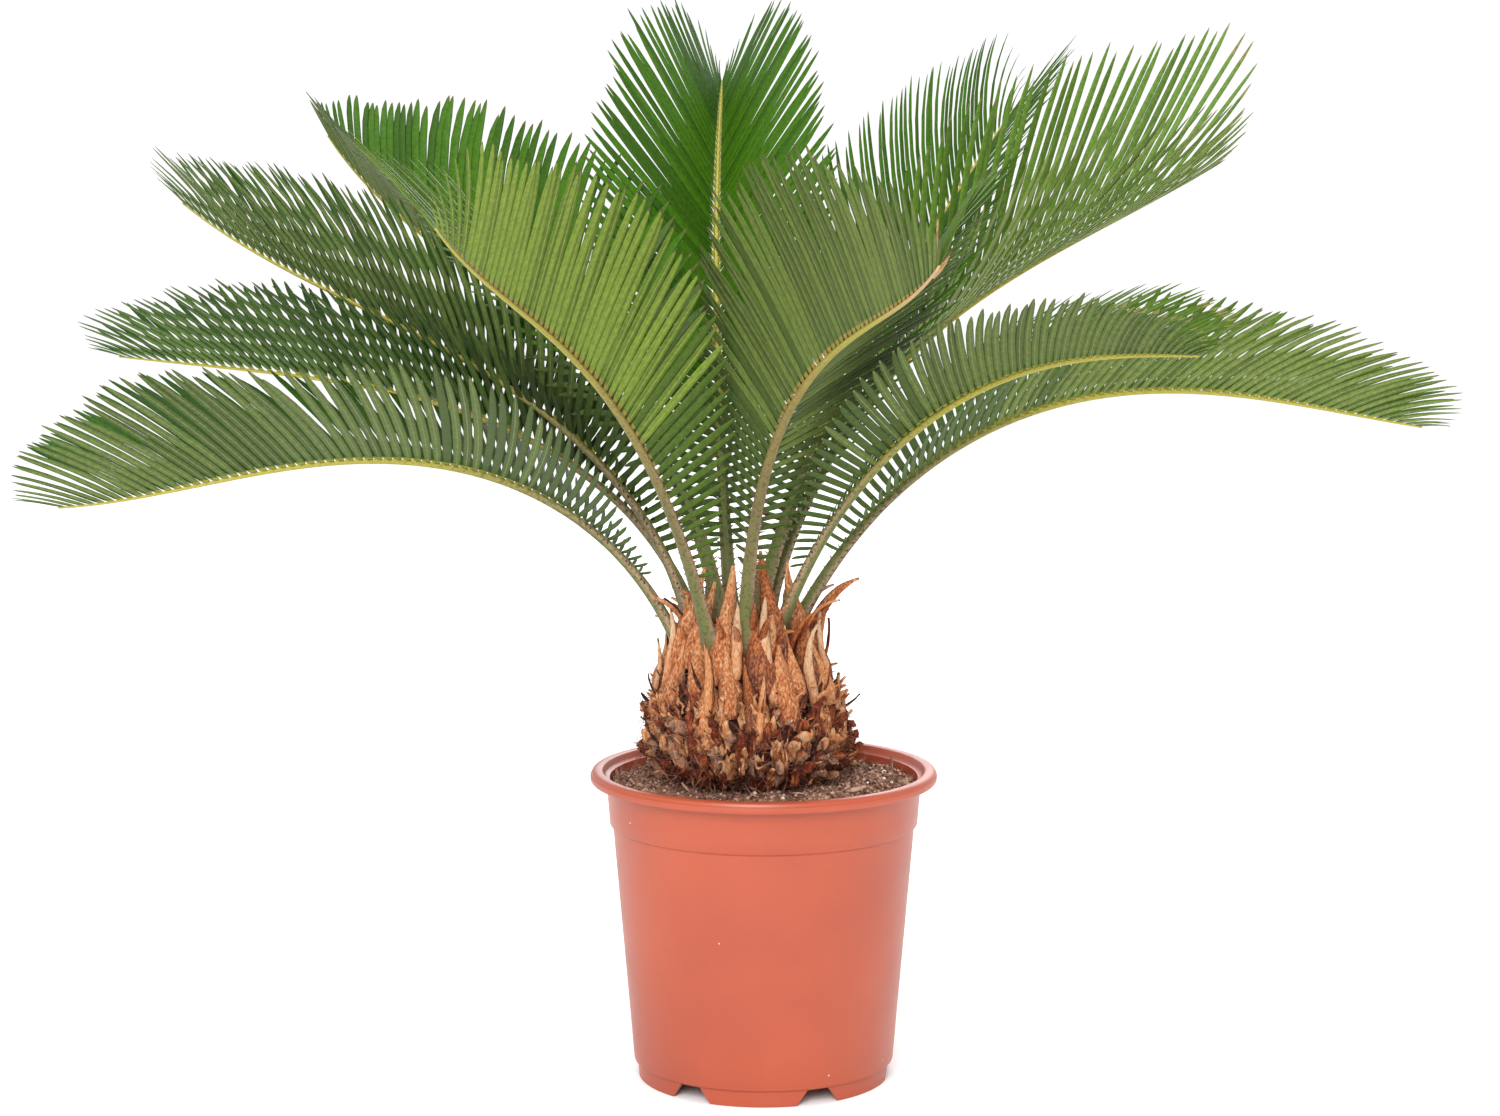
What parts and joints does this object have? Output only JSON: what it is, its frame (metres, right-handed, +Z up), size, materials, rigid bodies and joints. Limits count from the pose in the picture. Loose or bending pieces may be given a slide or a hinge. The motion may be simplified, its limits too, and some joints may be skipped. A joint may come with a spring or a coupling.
{
  "type": "potted sago palm",
  "caption": "Young sago palm with a short shaggy trunk and an open crown of arching feather fronds, standing in a round terracotta-coloured plastic nursery pot.",
  "frame": {"origin": "on the ground that the pot stands on, under the middle of the plant's width and depth; the pot's own upright axis stands 1 mm to the right of it and 30 mm behind it", "axes": "+Z up along the pot's axis, +X to the plant's right seen from its front, +Y to its back"},
  "size_m": [0.7908, 0.6278, 0.5928],
  "materials": {
    "pot": "satin injection-moulded plastic, terracotta coloured, with fine scuffs",
    "soil": "moist crumbly potting compost with fibres and white perlite",
    "trunk": "shaggy old leaf bases, dark brown and fibrous below, woolly orange-brown above",
    "scales": "papery pointed scales covered in woolly felt",
    "stalk": "firm olive stalk with fine brown felt and short spines along its edges",
    "rib": "smooth yellow-green midrib",
    "leaf": "stiff narrow leaflets, glossy dark green above and dull grey-green below"
  },
  "bodies": {
    "root": {"crown_scales": "scales", "frond_01_left": "leaf", "frond_01_rib": "rib", "frond_01_right": "leaf", "frond_01_stalk": "stalk", "frond_02_left": "leaf", "frond_02_rib": "rib", "frond_02_right": "leaf", "frond_02_stalk": "stalk", "frond_03_left": "leaf", "frond_03_rib": "rib", "frond_03_right": "leaf", "frond_03_stalk": "stalk", "frond_04_left": "leaf", "frond_04_rib": "rib", "frond_04_right": "leaf", "frond_04_stalk": "stalk", "frond_05_left_inner": "leaf", "frond_05_left_outer": "leaf", "frond_05_rib": "rib", "frond_05_right_inner": "leaf", "frond_05_right_outer": "leaf", "frond_05_stalk": "stalk", "frond_06_left": "leaf", "frond_06_rib": "rib", "frond_06_right": "leaf", "frond_06_stalk": "stalk", "frond_07_left_inner": "leaf", "frond_07_left_outer": "leaf", "frond_07_rib": "rib", "frond_07_right_inner": "leaf", "frond_07_right_outer": "leaf", "frond_07_stalk": "stalk", "frond_08_left": "leaf", "frond_08_rib": "rib", "frond_08_right": "leaf", "frond_08_stalk": "stalk", "frond_09_left": "leaf", "frond_09_rib": "rib", "frond_09_right": "leaf", "frond_09_stalk": "stalk", "frond_10_left_inner": "leaf", "frond_10_left_outer": "leaf", "frond_10_rib": "rib", "frond_10_right_inner": "leaf", "frond_10_right_outer": "leaf", "frond_10_stalk": "stalk", "frond_11_left_inner": "leaf", "frond_11_left_outer": "leaf", "frond_11_rib": "rib", "frond_11_right_inner": "leaf", "frond_11_right_outer": "leaf", "frond_11_stalk": "stalk", "pot": "pot", "soil": "soil", "trunk": "trunk"}
  },
  "joints": []
}
